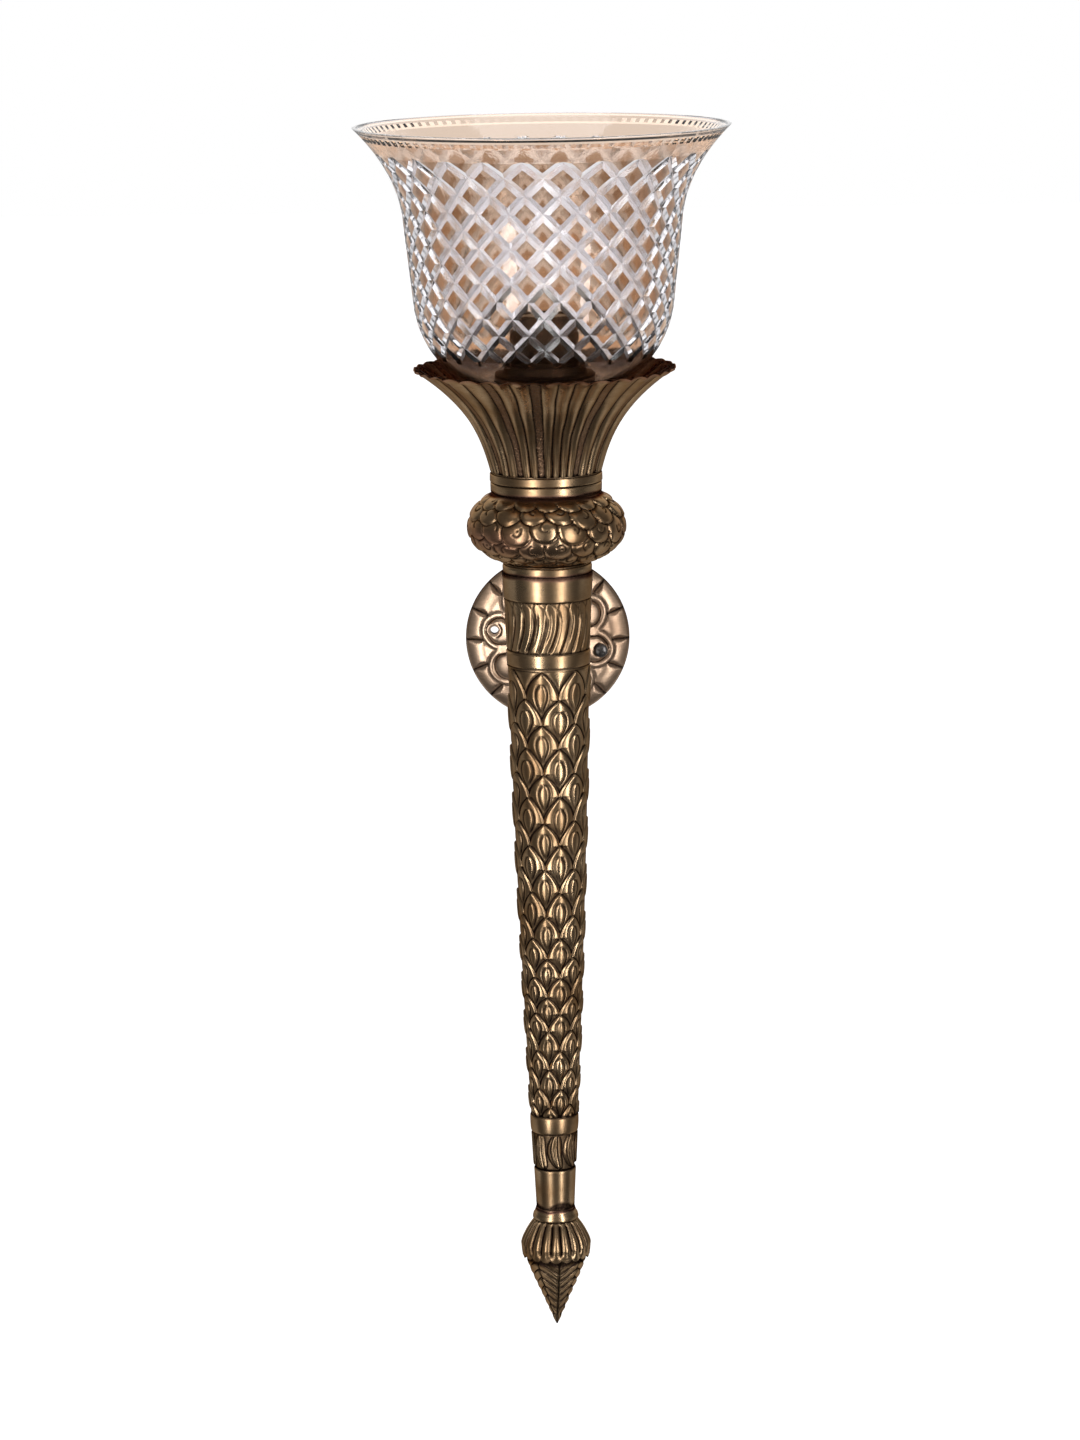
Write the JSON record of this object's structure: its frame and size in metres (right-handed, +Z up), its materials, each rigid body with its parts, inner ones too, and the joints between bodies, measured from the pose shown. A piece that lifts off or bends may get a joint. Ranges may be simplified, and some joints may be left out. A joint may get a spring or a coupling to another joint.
{
  "type": "torch wall sconce",
  "caption": "Tall torch wall sconce: a flared cut glass bell shade in a fluted brass cup on a leaf-chased tapering shaft with a spear finial, held off the wall by a short arm and a round plate.",
  "frame": {"origin": "centre of the wall plate's back, on the wall", "axes": "+Z up, +Y into the wall, +X to the right as seen from the room"},
  "size_m": [0.216, 0.238, 0.715],
  "materials": {
    "antique_brass": "satin antique brass, chased, dark in the recesses",
    "arm_brass": "satin brass",
    "plate_brass": "embossed polished brass",
    "bare_brass": "turned brass",
    "dark_bronze": "bronzed brass, dark brown",
    "plated_steel": "zinc plated",
    "block_plastic": "moulded",
    "gasket_rubber": "matt",
    "ceramic": "glazed ceramic",
    "amber_glass": "amber flashed glass with clear wheel cuts",
    "fibre": "pressed fibre",
    "brown_wire": "insulated",
    "blue_wire": "insulated",
    "earth_wire": "insulated"
  },
  "bodies": {
    "torch": {"wall_plate": "plate_brass", "terminal_bracket": "plated_steel", "terminal_block": "block_plastic", "arm_tube": "arm_brass", "arm_rosette": "arm_brass", "arm_back_washer": "plated_steel", "arm_back_nut": "bare_brass", "arm_saddle": "arm_brass", "arm_inner_saddle": "plated_steel", "arm_inner_nut": "bare_brass", "shaft": "antique_brass", "neck_ring": "antique_brass", "stud_washer": "plated_steel", "earth_tag": "plated_steel", "stud_nut": "bare_brass", "knob": "antique_brass", "cup_ring": "antique_brass", "cup": "antique_brass", "through_stud": "bare_brass", "stem": "bare_brass", "gallery": "bare_brass", "gasket": "gasket_rubber", "holder_cap": "dark_bronze", "holder_insulator": "ceramic", "holder_shell": "dark_bronze", "holder_liner": "ceramic", "screw_shell": "bare_brass", "centre_contact": "bare_brass", "terminals": "bare_brass", "finial_collar": "antique_brass", "finial_bulb": "antique_brass", "finial_spear": "antique_brass", "wire_live": "brown_wire", "wire_neutral": "blue_wire", "wire_earth": "earth_wire"},
    "shade": {"glass_shade": "amber_glass", "fibre_washer": "fibre"},
    "ring": {"shade_ring": "dark_bronze"}
  },
  "joints": [
    {"name": "shade_lift", "type": "slide", "parent": "torch", "child": "shade", "axis": [0, 0, 1], "range_m": [0, 0.08]},
    {"name": "ring_lift", "type": "slide", "parent": "shade", "child": "ring", "axis": [0, 0, 1], "range_m": [0, 0.05]}
  ]
}
